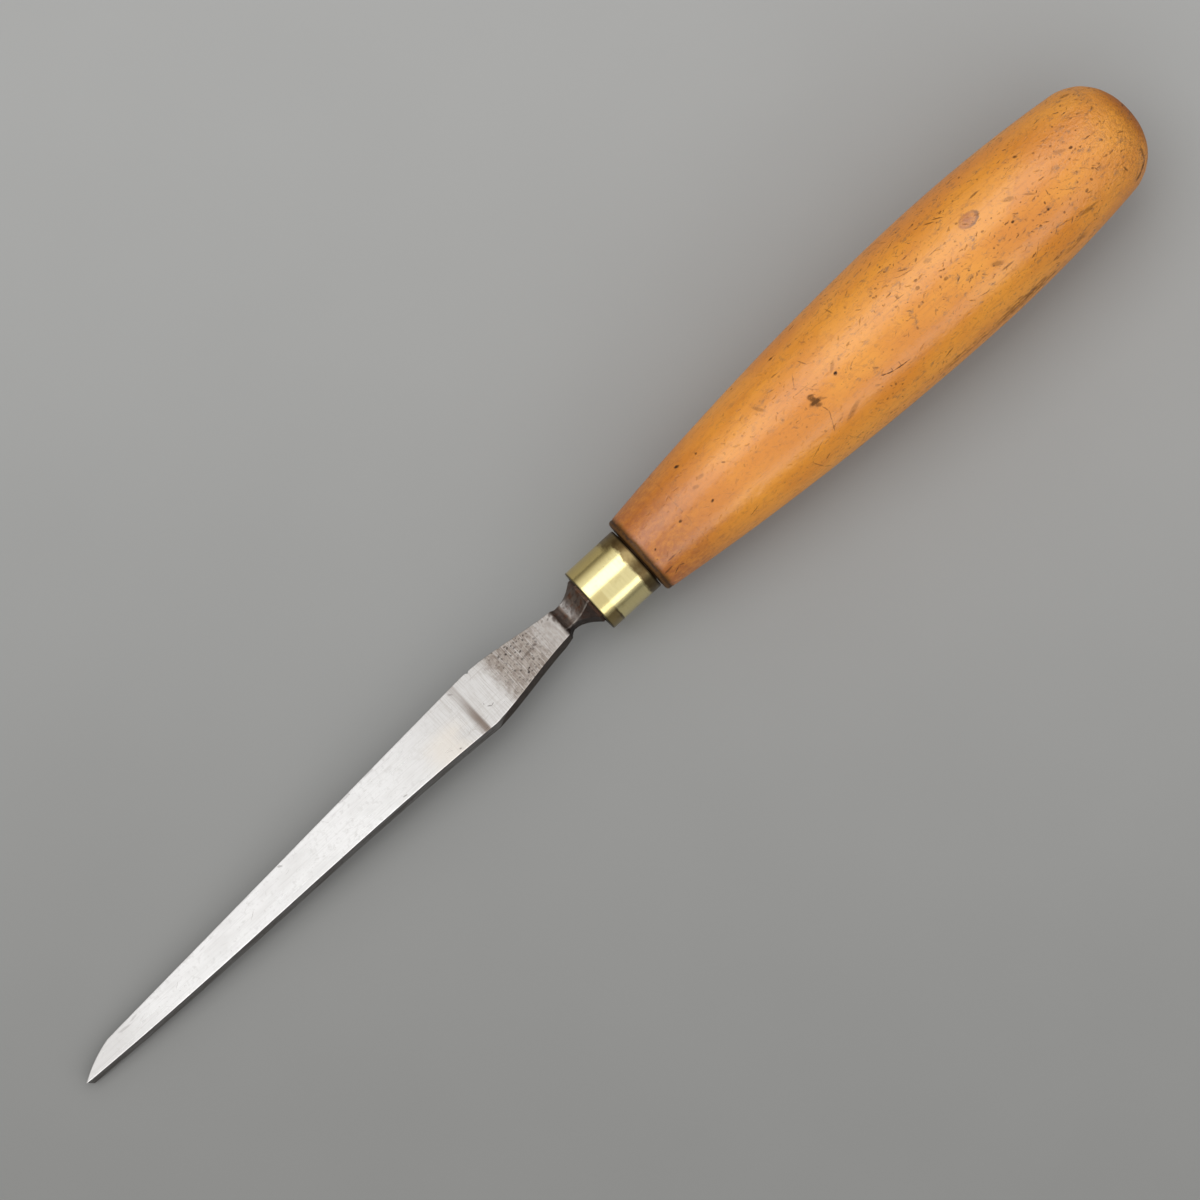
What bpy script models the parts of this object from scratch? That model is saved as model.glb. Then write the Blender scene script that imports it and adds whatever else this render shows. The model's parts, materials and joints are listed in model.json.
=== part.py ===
import math

import bmesh
import bpy
from mathutils import Matrix, Vector

# A flat carving chisel lying on a bench: a forged steel blade, a brass ferrule and a turned boxwood handle.
# Lengths are in metres. Along the tool, X is 0 at the mouth of the ferrule, with the blade towards -X and
# the butt of the handle towards +X. The blade's polished face looks up, and its point is on the -Y side.
# On the bench the tool is rolled a little, so that it rests on the far corner of the blade's curved end.

# Shared by the fits and the round pieces
FIT_GAP = 0.0003
ROUND_STEPS = 32
EDGE_BREAK = 0.0001

# Brass ferrule
FERRULE_LENGTH = 0.0107
FERRULE_RADIUS = 0.0061
FERRULE_WALL = 0.0010
FERRULE_CHAMFER = 0.0002

# Boxwood handle, from its shoulder to its butt
HANDLE_LENGTH = 0.1108
SHOULDER_RADIUS = 0.0075
SHOULDER_ROUND = 0.0006
BELLY_RADIUS = 0.01253
BELLY_TO_BUTT = 0.0394
HEEL_RADIUS = 0.01066
DOME_DEPTH = 0.0086
FRONT_SWELL = 1.85

# Blade, as seen on its polished face: the point side is -Y and the far side is +Y
BLADE_LENGTH = 0.1158
END_CURVE_LENGTH = 0.0076
END_CURVE_BULGE = 0.0004
END_BEVEL = 0.0005
NOSE_WIDTH = 0.0002
TIP_OFFSET = 0.0040
KNEE_OFFSET = 0.0005
POINT_SIDE_SWELL = 0.00555
POINT_SIDE_HOLLOW = 0.0041
BLADE_SHOULDER_X = 0.0251
BLADE_SHOULDER_POINT_SIDE = 0.0058
BLADE_SHOULDER_FAR_SIDE = 0.0049
SHOULDER_SWEEP = 0.0052
NECK_SWEEP = 0.0033
NECK_X = 0.0061
NECK_HALF_WIDTH = 0.0028

# Blade, as seen from the side
FACE_HEIGHT = 0.0014
TIP_THICKNESS = 0.0022
BLADE_SHOULDER_THICKNESS = 0.0025
NECK_THICKNESS = 0.0027

# Waist and bolster, a flare with chamfered corners that stands in the mouth of the ferrule
WAIST_X = 0.0046
WAIST_WIDTH = 0.0043
WAIST_THICKNESS = 0.0025
BOLSTER_WIDTH = 0.0087
BOLSTER_THICKNESS = 0.0073
BOLSTER_CHAMFER = 0.00245
BOLSTER_LAND = 0.0004
BOLSTER_FLARE = 1.5

# Square tang, driven into the handle
TANG_LENGTH = 0.042
TANG_ROOT_WIDTH = 0.0046
TANG_POINT_WIDTH = 0.0022

# How far the polished face leans to the far side when the tool lies on a bench
REST_ROLL = math.radians(20.0)

# Points along each curve
DOME_POINTS = 9
REAR_POINTS = 7
FRONT_POINTS = 16
ROUND_POINTS = 3
END_POINTS = 8
BLADE_POINTS = 9
NECK_POINTS = 6
FLARE_POINTS = 6


def clear_scene():
    for item in list(bpy.data.objects):
        bpy.data.objects.remove(item, do_unlink=True)


def new_collection(name):
    collection = bpy.data.collections.new(name)
    bpy.context.scene.collection.children.link(collection)
    return collection


def new_material(name, colour, roughness, metallic):
    material = bpy.data.materials.new(name)
    material.use_nodes = True
    shader = material.node_tree.nodes["Principled BSDF"]
    shader.inputs["Base Color"].default_value = (*colour, 1.0)
    shader.inputs["Roughness"].default_value = roughness
    shader.inputs["Metallic"].default_value = metallic
    return material


def new_object(name, mesh, collection):
    piece = bpy.data.objects.new(name, mesh)
    collection.objects.link(piece)
    return piece


def blend(start, leave, arrive, end, share):
    """A cubic curve from start to end, pulled towards leave and arrive on the way."""
    rest = 1.0 - share
    pulled = 3.0 * rest * rest * share * leave + 3.0 * rest * share * share * arrive
    return rest**3 * start + pulled + share**3 * end


def shares(count):
    return [k / count for k in range(count + 1)]


# Round pieces

def turned(name, profile, is_ring, collection):
    """Turns a profile of (radius, distance along the tool) pairs about the tool's axis."""
    points = [(radius, 0.0, along) for radius, along in profile]
    edges = [(k, k + 1) for k in range(len(points) - 1)]
    if is_ring:
        edges.append((len(points) - 1, 0))
    mesh = bpy.data.meshes.new(name)
    mesh.from_pydata(points, edges, [])
    piece = new_object(name, mesh, collection)
    screw = piece.modifiers.new("turn", "SCREW")
    screw.axis = "Z"
    screw.steps = ROUND_STEPS
    screw.render_steps = ROUND_STEPS
    screw.use_smooth_shade = True
    screw.use_merge_vertices = True
    screw.merge_threshold = 0.00001
    # The turning axis lies along the tool, with one flat of the round facing the bench.
    piece.rotation_mode = "ZYX"
    piece.rotation_euler = (0.0, math.pi / 2, math.pi / ROUND_STEPS + REST_ROLL)
    return piece


def ferrule_profile():
    bore = FERRULE_RADIUS - FERRULE_WALL
    rim = FERRULE_RADIUS - FERRULE_CHAMFER
    return [
        (rim, FERRULE_LENGTH),
        (FERRULE_RADIUS, FERRULE_LENGTH - FERRULE_CHAMFER),
        (FERRULE_RADIUS, FERRULE_CHAMFER),
        (rim, 0.0),
        (bore, 0.0),
        (bore, FERRULE_LENGTH),
    ]


def handle_profile():
    shoulder = FERRULE_LENGTH + FIT_GAP
    start = shoulder + SHOULDER_ROUND
    butt = shoulder + HANDLE_LENGTH
    belly = butt - BELLY_TO_BUTT
    heel = butt - DOME_DEPTH
    spigot_radius = FERRULE_RADIUS - FERRULE_WALL - FIT_GAP
    # The dome goes on with the slope that the rear of the handle has at the heel.
    slope = 2.0 * (BELLY_RADIUS - HEEL_RADIUS) / (heel - belly)
    profile = []
    for share in shares(DOME_POINTS)[:-1]:
        angle = share * math.pi / 2
        past = DOME_DEPTH * math.cos(angle)
        profile.append(((HEEL_RADIUS - slope * past) * math.sin(angle), heel + past))
    for share in shares(REAR_POINTS)[:-1]:
        back = 1.0 - share
        profile.append((BELLY_RADIUS - (BELLY_RADIUS - HEEL_RADIUS) * back**2, belly + (heel - belly) * back))
    for share in shares(FRONT_POINTS):
        fall = (BELLY_RADIUS - SHOULDER_RADIUS) * share**FRONT_SWELL
        profile.append((BELLY_RADIUS - fall, belly + (start - belly) * share))
    for share in shares(ROUND_POINTS)[1:]:
        angle = share * math.pi / 2
        inset = SHOULDER_ROUND * (1.0 - math.cos(angle))
        profile.append((SHOULDER_RADIUS - inset, start - SHOULDER_ROUND * math.sin(angle)))
    profile.append((spigot_radius, shoulder))
    profile.append((spigot_radius, FIT_GAP))
    profile.append((0.0, FIT_GAP))
    return profile


# Blade

def chamfered_ring(corners, chamfer):
    """Eight points round a four-cornered section, two for each corner."""
    ring = []
    for k, corner in enumerate(corners):
        for other in (corners[k - 1], corners[(k + 1) % 4]):
            side = other - corner
            ring.append(corner + side.normalized() * min(chamfer, 0.3 * side.length))
    return ring


def section(x_point, x_far, point_side, far_side, top, bottom, chamfer=EDGE_BREAK):
    """A four-cornered section of the blade, chamfered at its corners."""
    corners = [
        Vector((x_point, -point_side, top)),
        Vector((x_far, far_side, top)),
        Vector((x_far, far_side, bottom)),
        Vector((x_point, -point_side, bottom)),
    ]
    return chamfered_ring(corners, chamfer)


def box_section(x, width, thickness, chamfer):
    return section(x, x, width / 2, width / 2, thickness / 2, -thickness / 2, chamfer)


def share_of_blade(x):
    """How far x lies from the tip, at 0, to the blade's shoulder, at 1."""
    return (x + BLADE_LENGTH) / (BLADE_LENGTH - BLADE_SHOULDER_X)


def point_side_at(x):
    share = share_of_blade(x)
    return blend(TIP_OFFSET, POINT_SIDE_SWELL, POINT_SIDE_HOLLOW, BLADE_SHOULDER_POINT_SIDE, share)


def thickness_at(x):
    return TIP_THICKNESS + (BLADE_SHOULDER_THICKNESS - TIP_THICKNESS) * share_of_blade(x)


def end_curve_rings():
    """Rings round the curved end, from the point back to the knee on the far side."""
    tip = Vector((-BLADE_LENGTH, -TIP_OFFSET, 0.0))
    chord = Vector((END_CURVE_LENGTH, TIP_OFFSET - KNEE_OFFSET, 0.0))
    outward = Vector((-chord.y, chord.x, 0.0)).normalized()
    # Under the point, the bevel meets the blade's side this far along the chord.
    first = END_BEVEL * chord.x / chord.y / chord.length
    rings = []
    for share in shares(END_POINTS):
        foot_share = first + (1.0 - first) * share
        corners = []
        for level, along, inset in ((0.0, share, 0.0), (1.0, foot_share, END_BEVEL)):
            bulge = 4.0 * END_CURVE_BULGE * along * (1.0 - along) - inset
            far = tip + chord * along + outward * bulge
            x = tip.x + chord.x * along + NOSE_WIDTH * (1.0 - share)
            height = FACE_HEIGHT - level * thickness_at(x)
            near = Vector((x, -point_side_at(x), height))
            far.z = height
            far.y = max(far.y, near.y + 0.5 * NOSE_WIDTH)
            corners.append((near, far))
        (top_near, top_far), (low_near, low_far) = corners
        rings.append(chamfered_ring([top_near, top_far, low_far, low_near], EDGE_BREAK))
    return rings


def blade_rings():
    """Rings from behind the knee to the shoulder, and on to the neck."""
    knee = END_CURVE_LENGTH - BLADE_LENGTH
    shoulder = -BLADE_SHOULDER_X
    rings = []
    for share in shares(BLADE_POINTS)[1:]:
        x = knee + (shoulder - knee) * share
        far_side = -KNEE_OFFSET + (BLADE_SHOULDER_FAR_SIDE + KNEE_OFFSET) * share
        bottom = FACE_HEIGHT - thickness_at(x)
        rings.append(section(x, x, point_side_at(x), far_side, FACE_HEIGHT, bottom))
    for share in shares(NECK_POINTS)[1:]:
        x = shoulder + (BLADE_SHOULDER_X - NECK_X) * share
        point_side = blend(BLADE_SHOULDER_POINT_SIDE, SHOULDER_SWEEP, NECK_SWEEP, NECK_HALF_WIDTH, share)
        far_side = blend(BLADE_SHOULDER_FAR_SIDE, SHOULDER_SWEEP, NECK_SWEEP, NECK_HALF_WIDTH, share)
        thickness = BLADE_SHOULDER_THICKNESS + (NECK_THICKNESS - BLADE_SHOULDER_THICKNESS) * share
        rings.append(section(x, x, point_side, far_side, FACE_HEIGHT, FACE_HEIGHT - thickness))
    return rings


def bolster_rings():
    """Rings from the waist, out along the hollow flare, to the bolster's flat back."""
    rings = []
    for share in shares(FLARE_POINTS):
        grown = share**BOLSTER_FLARE
        x = -WAIST_X + (WAIST_X - BOLSTER_LAND) * share
        width = WAIST_WIDTH + (BOLSTER_WIDTH - WAIST_WIDTH) * grown
        thickness = WAIST_THICKNESS + (BOLSTER_THICKNESS - WAIST_THICKNESS) * grown
        chamfer = EDGE_BREAK + (BOLSTER_CHAMFER - EDGE_BREAK) * grown
        rings.append(box_section(x, width, thickness, chamfer))
    rings.append(box_section(0.0, BOLSTER_WIDTH, BOLSTER_THICKNESS, BOLSTER_CHAMFER))
    return rings


def tang_rings(length, clearance):
    """The tapered square of the tang, or of its socket with the clearance round it."""
    rings = []
    for x in (0.0, length):
        width = TANG_ROOT_WIDTH + (TANG_POINT_WIDTH - TANG_ROOT_WIDTH) * x / TANG_LENGTH + 2.0 * clearance
        rings.append(box_section(x, width, width, EDGE_BREAK))
    return rings


def lofted(name, rings, collection):
    """One closed skin through rings of equal point counts, with a face across each end."""
    shape = bmesh.new()
    loops = [[shape.verts.new(point) for point in ring] for ring in rings]
    count = len(rings[0])
    for loop, following in zip(loops, loops[1:]):
        for k in range(count):
            after = (k + 1) % count
            shape.faces.new((loop[k], loop[after], following[after], following[k]))
    shape.faces.new(loops[0])
    shape.faces.new(loops[-1])
    bmesh.ops.recalc_face_normals(shape, faces=shape.faces)
    mesh = bpy.data.meshes.new(name)
    shape.to_mesh(mesh)
    shape.free()
    return new_object(name, mesh, collection)


# Lying on the bench

def lay_on_bench(carrier, profile, rings):
    """Rolls the tool, then tips it until the blade's end and the handle's belly touch Z = 0."""
    flat = math.cos(math.pi / ROUND_STEPS)
    under_handle = [(along, -radius * flat) for radius, along in profile]
    over_handle = [(along, radius * flat) for radius, along in profile]
    roll = Matrix.Rotation(-REST_ROLL, 3, "X")
    rolled = [roll @ point for ring in rings for point in ring]
    blade = [(point.x, point.z) for point in rolled]
    pitch = 0.0

    def height(place):
        return place[0] * math.sin(pitch) + place[1] * math.cos(pitch)

    def reach(place):
        return place[0] * math.cos(pitch) - place[1] * math.sin(pitch)

    for _ in range(8):
        foot = min(blade, key=height)
        belly = min(under_handle, key=height)
        pitch = math.atan2(foot[1] - belly[1], belly[0] - foot[0])
    places = under_handle + over_handle + blade
    middle = (min(map(reach, places)) + max(map(reach, places))) / 2
    carrier.location = (-middle, 0.0, -min(map(height, places)))
    carrier.rotation_euler = (-REST_ROLL, -pitch, 0.0)


def build():
    clear_scene()
    parts = new_collection("flat_carving_chisel")
    cutters = new_collection("cutters")
    steel = new_material("forged_steel", (0.62, 0.62, 0.61), 0.28, 1.0)
    brass = new_material("polished_brass", (0.78, 0.56, 0.20), 0.22, 1.0)
    boxwood = new_material("polished_boxwood", (0.55, 0.24, 0.05), 0.35, 0.0)

    carrier = bpy.data.objects.new("lying_on_bench", None)
    parts.objects.link(carrier)

    rings = end_curve_rings() + blade_rings() + bolster_rings() + tang_rings(TANG_LENGTH, 0.0)
    blade = lofted("blade", rings, parts)
    blade.data.materials.append(steel)

    ferrule = turned("ferrule", ferrule_profile(), True, parts)
    ferrule.data.materials.append(brass)

    profile = handle_profile()
    handle = turned("handle", profile, False, parts)
    handle.data.materials.append(boxwood)

    socket = lofted("tang_socket", tang_rings(TANG_LENGTH + FIT_GAP, FIT_GAP), cutters)
    socket.hide_render = True
    socket.display_type = "WIRE"
    cut = handle.modifiers.new("tang_socket", "BOOLEAN")
    cut.operation = "DIFFERENCE"
    cut.solver = "EXACT"
    cut.object = socket

    for piece in (blade, ferrule, handle, socket):
        piece.parent = carrier
    lay_on_bench(carrier, profile, rings)


build()
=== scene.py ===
import json
import math
import random

import bmesh
import bpy
from mathutils import Matrix, Vector, noise


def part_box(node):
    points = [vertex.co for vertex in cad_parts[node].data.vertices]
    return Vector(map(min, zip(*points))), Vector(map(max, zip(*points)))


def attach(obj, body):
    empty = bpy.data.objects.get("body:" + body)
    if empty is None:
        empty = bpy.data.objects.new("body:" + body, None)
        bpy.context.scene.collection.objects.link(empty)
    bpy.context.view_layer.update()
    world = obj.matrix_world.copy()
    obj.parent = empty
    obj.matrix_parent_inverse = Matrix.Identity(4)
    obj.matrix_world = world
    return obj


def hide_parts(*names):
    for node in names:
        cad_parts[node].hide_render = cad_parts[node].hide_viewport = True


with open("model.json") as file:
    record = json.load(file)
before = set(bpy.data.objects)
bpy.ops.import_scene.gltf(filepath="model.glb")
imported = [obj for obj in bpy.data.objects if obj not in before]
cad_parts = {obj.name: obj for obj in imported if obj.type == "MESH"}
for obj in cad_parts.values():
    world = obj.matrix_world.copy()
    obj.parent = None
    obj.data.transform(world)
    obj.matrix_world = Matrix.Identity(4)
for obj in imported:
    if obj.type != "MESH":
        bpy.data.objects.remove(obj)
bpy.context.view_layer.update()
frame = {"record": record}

# where the tool lies: the blade's face gives its lean, the ferrule its place
toolFit = {
    "ferruleLength": 0.0107,
    "viewTurn": 25.0,  # degrees round the tool from the blade's face to the side that shows most
}
faceNormal = Vector(frame["record"]["mounts"][0]["axis"]).normalized()
restRoll = math.asin(faceNormal.y)
restPitch = math.atan2(-faceNormal.x, faceNormal.z)
toolTurn = Matrix.Rotation(-restPitch, 4, "Y") @ Matrix.Rotation(-restRoll, 4, "X")
toolAxis = toolTurn @ Vector((1, 0, 0))
farSide = toolTurn @ Vector((0, 1, 0))
ferruleLow, ferruleHigh = (Vector(corner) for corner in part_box("ferrule"))
mouth = (ferruleLow + ferruleHigh) / 2 - toolAxis * toolFit["ferruleLength"] / 2
toolPlace = Matrix.Translation(mouth) @ toolTurn
viewTurn = math.radians(toolFit["viewTurn"])
print("tool lies at", [round(v, 5) for v in mouth])


# camera
shot = {
    "distance": 2.5,
    "frameWidth": 0.2,  # metres across the picture at the tool
    "sensor": 36.0,
    "lean": -0.026,  # along the tool, towards the blade
    "axisAngle": 42.33,  # degrees of the tool above level in the picture
    "centreAlong": 0.001475,
    "centreAcross": 0.00107,
}


def addCamera():
    back = faceNormal * math.cos(viewTurn) - farSide * math.sin(viewTurn) + toolAxis * shot["lean"]
    back.normalize()
    along = (toolAxis - back * toolAxis.dot(back)).normalized()
    across = along.cross(back)
    turn = math.radians(shot["axisAngle"])
    right = along * math.cos(turn) + across * math.sin(turn)
    up = along * math.sin(turn) - across * math.cos(turn)
    target = mouth + toolAxis * shot["centreAlong"] + across * shot["centreAcross"]
    bpy.ops.object.camera_add()
    camera = bpy.context.object
    camera.name = "shotCamera"
    rotation = Matrix((right, up, back)).transposed().to_4x4()
    camera.matrix_world = Matrix.Translation(target + back * shot["distance"]) @ rotation
    camera.data.sensor_width = shot["sensor"]
    camera.data.lens = shot["sensor"] * shot["distance"] / shot["frameWidth"]
    camera.data.clip_start = 0.05
    bpy.context.scene.camera = camera


addCamera()


# lights, room and floor
studio = {
    "boxAngle": -21.2,  # degrees from overhead, below zero towards the far side
    "boxSize": (1.4, 0.864),
    "boxWatts": 5.3,
    "stripAngle": 60.0,
    "stripSize": (1.0, 0.4),
    "stripWatts": 1.5,
    "lampDistance": 1.2,
    "horizonLevel": 0.16,
    "ceilingLevel": 0.84,
    "ceilingRise": 0.6,
    "windowLevel": 0.50,
    "windowEdge": (0.80, 0.96),
    "windowTowards": (-0.68, -0.45, 0.58),  # off the blade's end, on the near side
    # painted light: the paper's shaded and lit tones, blended up the picture
    "paperShadedTone": (0.220, 0.220, 0.213, 1.0),
    "paperLitTone": (0.352, 0.352, 0.345, 1.0),
    "paperSize": 4.0,
    "paperLightRise": (-0.15, 0.13),  # metres up the picture, from dark to pale
    "paperMottle": 0.12,
}


def addSoftbox(name, angle, size, watts):
    lean = math.radians(angle)
    towards = Vector((0, -math.sin(lean), math.cos(lean)))
    bpy.ops.object.light_add(type="AREA")
    lamp = bpy.context.object
    lamp.name = name
    lamp.data.shape = "RECTANGLE"
    lamp.data.size, lamp.data.size_y = size
    lamp.data.energy = watts
    lamp.location = towards * studio["lampDistance"]
    lamp.rotation_euler = (lean, 0, 0)
    lamp.visible_camera = False


def addRoom():
    world = bpy.data.worlds.new("paleRoom")
    world.use_nodes = True
    wiring["tree"] = world.node_tree
    coords = put("ShaderNodeTexCoord", {}).outputs["Generated"]
    height = put("ShaderNodeSeparateXYZ", {0: coords}).outputs["Z"]
    ceiling = fade(height, 0.0, studio["ceilingRise"], studio["horizonLevel"], studio["ceilingLevel"])
    towards = Vector(studio["windowTowards"]).normalized()
    window = dot(coords, towards)
    window = fade(window, *studio["windowEdge"], 0.0, studio["windowLevel"])
    level = calc("ADD", ceiling, window)
    feed(world.node_tree.nodes["Background"], {"Strength": level, "Color": (1, 1, 1, 1)})
    bpy.context.scene.world = world


def addFloor():
    deselectAll()
    bpy.ops.mesh.primitive_plane_add(size=studio["paperSize"])
    floor = bpy.context.object
    floor.name = "floor"
    paper, shader = newFinish("greyPaper")
    coords = put("ShaderNodeTexCoord", {}).outputs["Object"]
    # painted light: the paper is painted paler towards the top of the picture, standing in for light
    # falling off towards the bottom
    turn = math.radians(shot["axisAngle"])
    rise = dot(coords, (math.sin(turn), math.cos(turn), 0.0))
    share = fade(rise, *studio["paperLightRise"])
    share = addScaled(cloud(coords, (30.0, 30.0, 30.0), 3.0), studio["paperMottle"], share)
    share = calc("SUBTRACT", share, studio["paperMottle"] / 2, clamp=True)
    colour = tint(share, studio["paperShadedTone"], studio["paperLitTone"])
    feed(shader, {"Base Color": colour, "Roughness": 0.9, "Specular IOR Level": 0.2})
    floor.data.materials.append(paper)


# material nodes: values in millimetres along and round the tool
wiring = {"tree": None}  # the node tree in hand


def feed(node, feeds):
    # sockets are linked, plain values are set
    for socket, value in feeds.items():
        if isinstance(value, bpy.types.NodeSocket):
            wiring["tree"].links.new(value, node.inputs[socket])
        else:
            node.inputs[socket].default_value = value


def put(kind, feeds, **choices):
    made = wiring["tree"].nodes.new(kind)
    for choice, value in choices.items():
        setattr(made, choice, value)
    feed(made, feeds)
    return made


def calc(operation, first, second=0.0, third=0.0, clamp=False):
    feeds = {0: first, 1: second, 2: third}
    return put("ShaderNodeMath", feeds, operation=operation, use_clamp=clamp).outputs[0]


def times(first, second):
    return calc("MULTIPLY", first, second)


def most(first, second):
    return calc("MAXIMUM", first, second)


def addScaled(value, factor, base):
    return calc("MULTIPLY_ADD", value, factor, base)


def apart(first, second):
    return calc("ABSOLUTE", calc("SUBTRACT", first, second))


def fade(value, start, end, low=0.0, high=1.0):
    feeds = {"Value": value, "From Min": start, "From Max": end, "To Min": low, "To Max": high}
    return put("ShaderNodeMapRange", feeds, interpolation_type="SMOOTHSTEP").outputs["Result"]


def fadedBy(share, value, start, end, low=0.0, high=1.0):
    return times(share, fade(value, start, end, low, high))


def tint(share, under, over):
    made = put("ShaderNodeMix", {0: share, 6: under, 7: over}, data_type="RGBA", blend_type="MIX")
    return made.outputs[2]


def vectorCalc(operation, first, second=(0.0, 0.0, 0.0)):
    return put("ShaderNodeVectorMath", {0: first, 1: second}, operation=operation).outputs


def stretch(vector, factors):
    return vectorCalc("MULTIPLY", vector, factors)[0]


def shift(vector, offset):
    return vectorCalc("ADD", vector, offset)[0]


def dot(first, second):
    return vectorCalc("DOT_PRODUCT", first, second)["Value"]


def cloud(vector, factors, detail=2.0, rough=0.5):
    feeds = {"Vector": stretch(vector, factors), "Scale": 1.0, "Detail": detail, "Roughness": rough}
    return put("ShaderNodeTexNoise", feeds).outputs[0]


def newFinish(name):
    finish = bpy.data.materials.new(name)
    finish.use_nodes = True
    wiring["tree"] = finish.node_tree
    return finish, finish.node_tree.nodes["Principled BSDF"]


def emboss(height):
    # height in millimetres
    return put("ShaderNodeBump", {"Strength": 1.0, "Distance": 0.001, "Height": height}).outputs[0]


def toolSpace(turn):
    # millimetres in the tool's own axes, turned round its length by the given angle
    feeds = {
        "Vector": put("ShaderNodeTexCoord", {}).outputs["Object"],
        "Location": mouth,
        "Rotation": (turn - restRoll, -restPitch, 0),
        "Scale": (0.001, 0.001, 0.001),
    }
    place = put("ShaderNodeMapping", feeds, vector_type="TEXTURE").outputs[0]
    parts = put("ShaderNodeSeparateXYZ", {0: place}).outputs
    return place, parts["X"], parts["Y"], parts["Z"]


def roundSpace():
    # along the tool and round it, unrolled from the side that shows most
    place, along, left, up = toolSpace(viewTurn)
    across = times(left, -1.0)
    turn = calc("ARCTAN2", across, up)
    radius = calc("SQRT", calc("ADD", times(left, left), times(up, up)))
    arc = times(turn, radius)
    plane = put("ShaderNodeCombineXYZ", {"X": along, "Y": arc}).outputs[0]
    return {"place": place, "along": along, "across": across, "plane": plane}


def wobbled(vector, size, amount):
    feeds = {"Vector": vector, "Scale": 1.0 / size, "Detail": 2.0}
    waver = put("ShaderNodeTexNoise", feeds).outputs[1]
    centred = shift(waver, (-0.5, -0.5, -0.5))
    return shift(vector, stretch(centred, (amount, amount, 0.0)))


def strokes(plane, cell, length, width, share, spread, seed):
    # one short stroke in some of the cells, each with its own lean, length and strength
    placed = shift(plane, (seed * 13.7, seed * 7.3, 0.0))
    feeds = {"Vector": placed, "Scale": 1.0 / cell}
    cells = put("ShaderNodeTexVoronoi", feeds, voronoi_dimensions="2D")
    chance = put("ShaderNodeSeparateColor", {0: cells.outputs["Color"]}).outputs
    kept = calc("LESS_THAN", chance[2], share)
    reach = addScaled(times(chance[1], chance[1]), 0.78, 0.22)
    faint = addScaled(chance[2], -0.65 / share, 1.0)
    lean = addScaled(chance[0], 2.0 * spread, -spread)
    feeds = {"X": calc("COSINE", lean), "Y": calc("SINE", lean)}
    heading = put("ShaderNodeCombineXYZ", feeds).outputs[0]
    away = vectorCalc("SUBTRACT", placed, cells.outputs["Position"])[0]
    lengthwise = dot(away, heading)
    lengthwise = times(lengthwise, lengthwise)
    sideways = calc("SUBTRACT", dot(away, away), lengthwise)
    far = times(lengthwise, length**-2)
    far = calc("SQRT", addScaled(sideways, width**-2, far))
    core = fade(calc("DIVIDE", far, reach), 1.0, 0.45)
    return times(core, times(kept, faint))


def specks(plane, cell, size, share, seed):
    return strokes(plane, cell, size, size * 0.8, share, 1.5, seed)


# a bruise, crack or stain: an ellipse between two points, in millimetres
def addMark(plane, before, start, end, width, strength):
    middle = (start + end) / 2
    heading = end - start
    scaled = heading.normalized() / (heading.length / 2 + width)
    sideways = Vector((-heading.y, heading.x)).normalized() / width
    feeds = {"X": dot(plane, (*scaled, 0.0)), "Y": dot(plane, (*sideways, 0.0))}
    local = put("ShaderNodeCombineXYZ", feeds).outputs[0]
    centre = scaled.dot(middle), sideways.dot(middle), 0.0
    far = vectorCalc("DISTANCE", local, centre)["Value"]
    return most(before, fade(far, 1.22, 0.50, 0.0, strength))


# modelling
def deselectAll():
    if bpy.context.object and bpy.context.object.mode != "OBJECT":
        bpy.ops.object.mode_set(mode="OBJECT")
    bpy.ops.object.select_all(action="DESELECT")


def takeUp(piece):
    deselectAll()
    piece.select_set(True)
    bpy.context.view_layer.objects.active = piece


def turnOnLathe(name, profile, steps):
    # one point pulled along the profile, then spun round the tool's axis
    deselectAll()
    bpy.ops.mesh.primitive_plane_add(size=0.001)
    piece = bpy.context.object
    piece.name = name
    bpy.ops.object.mode_set(mode="EDIT")
    bpy.ops.mesh.merge(type="CENTER")
    at = Vector((0, 0, 0))
    for step, (along, radius) in enumerate(profile):
        to = Vector((along, 0, radius))
        if step == 0:
            bpy.ops.transform.translate(value=to - at)
        else:
            bpy.ops.mesh.extrude_vertices_move(TRANSFORM_OT_translate={"value": to - at})
        at = to
    bpy.ops.mesh.select_all(action="SELECT")
    bpy.ops.mesh.spin(steps=steps, angle=2 * math.pi, center=(0, 0, 0), axis=(1, 0, 0))
    bpy.ops.mesh.select_all(action="SELECT")
    bpy.ops.mesh.remove_doubles(threshold=0.0000005)
    bpy.ops.mesh.normals_make_consistent(inside=False)
    bpy.ops.object.mode_set(mode="OBJECT")
    return piece


def pullThrough(name, rings):
    # a filled ring extruded from station to station, its points set at each
    deselectAll()
    bpy.ops.mesh.primitive_circle_add(vertices=len(rings[0]), radius=0.001, fill_type="NGON")
    piece = bpy.context.object
    piece.name = name
    bpy.ops.object.mode_set(mode="EDIT")
    before = None
    for ring in rings:
        if before:
            bpy.ops.mesh.extrude_region_move(TRANSFORM_OT_translate={"value": (0, 0, 0)})
        shape = bmesh.from_edit_mesh(piece.data)
        cap = next(face for face in shape.faces if face.select)
        for place, vert in enumerate([corner.vert for corner in cap.loops]):
            if before:
                place = min(range(len(before)), key=lambda k: (before[k] - vert.co).length_squared)
            vert.co = ring[place]
        bmesh.update_edit_mesh(piece.data)
        before = [Vector(point) for point in ring]
    bpy.ops.mesh.select_all(action="SELECT")
    bpy.ops.mesh.normals_make_consistent(inside=False)
    bpy.ops.object.mode_set(mode="OBJECT")
    return piece


def settle(piece, finish, node, smoothAngle):
    # the piece goes to its place on the bench, with its object left at the origin
    takeUp(piece)
    piece.data.transform(toolPlace)
    piece.data.materials.clear()
    piece.data.materials.append(finish)
    bpy.ops.object.shade_smooth_by_angle(angle=math.radians(smoothAngle))
    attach(piece, "root")
    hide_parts(node)
    print(piece.name, len(piece.data.polygons), "faces")


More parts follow.
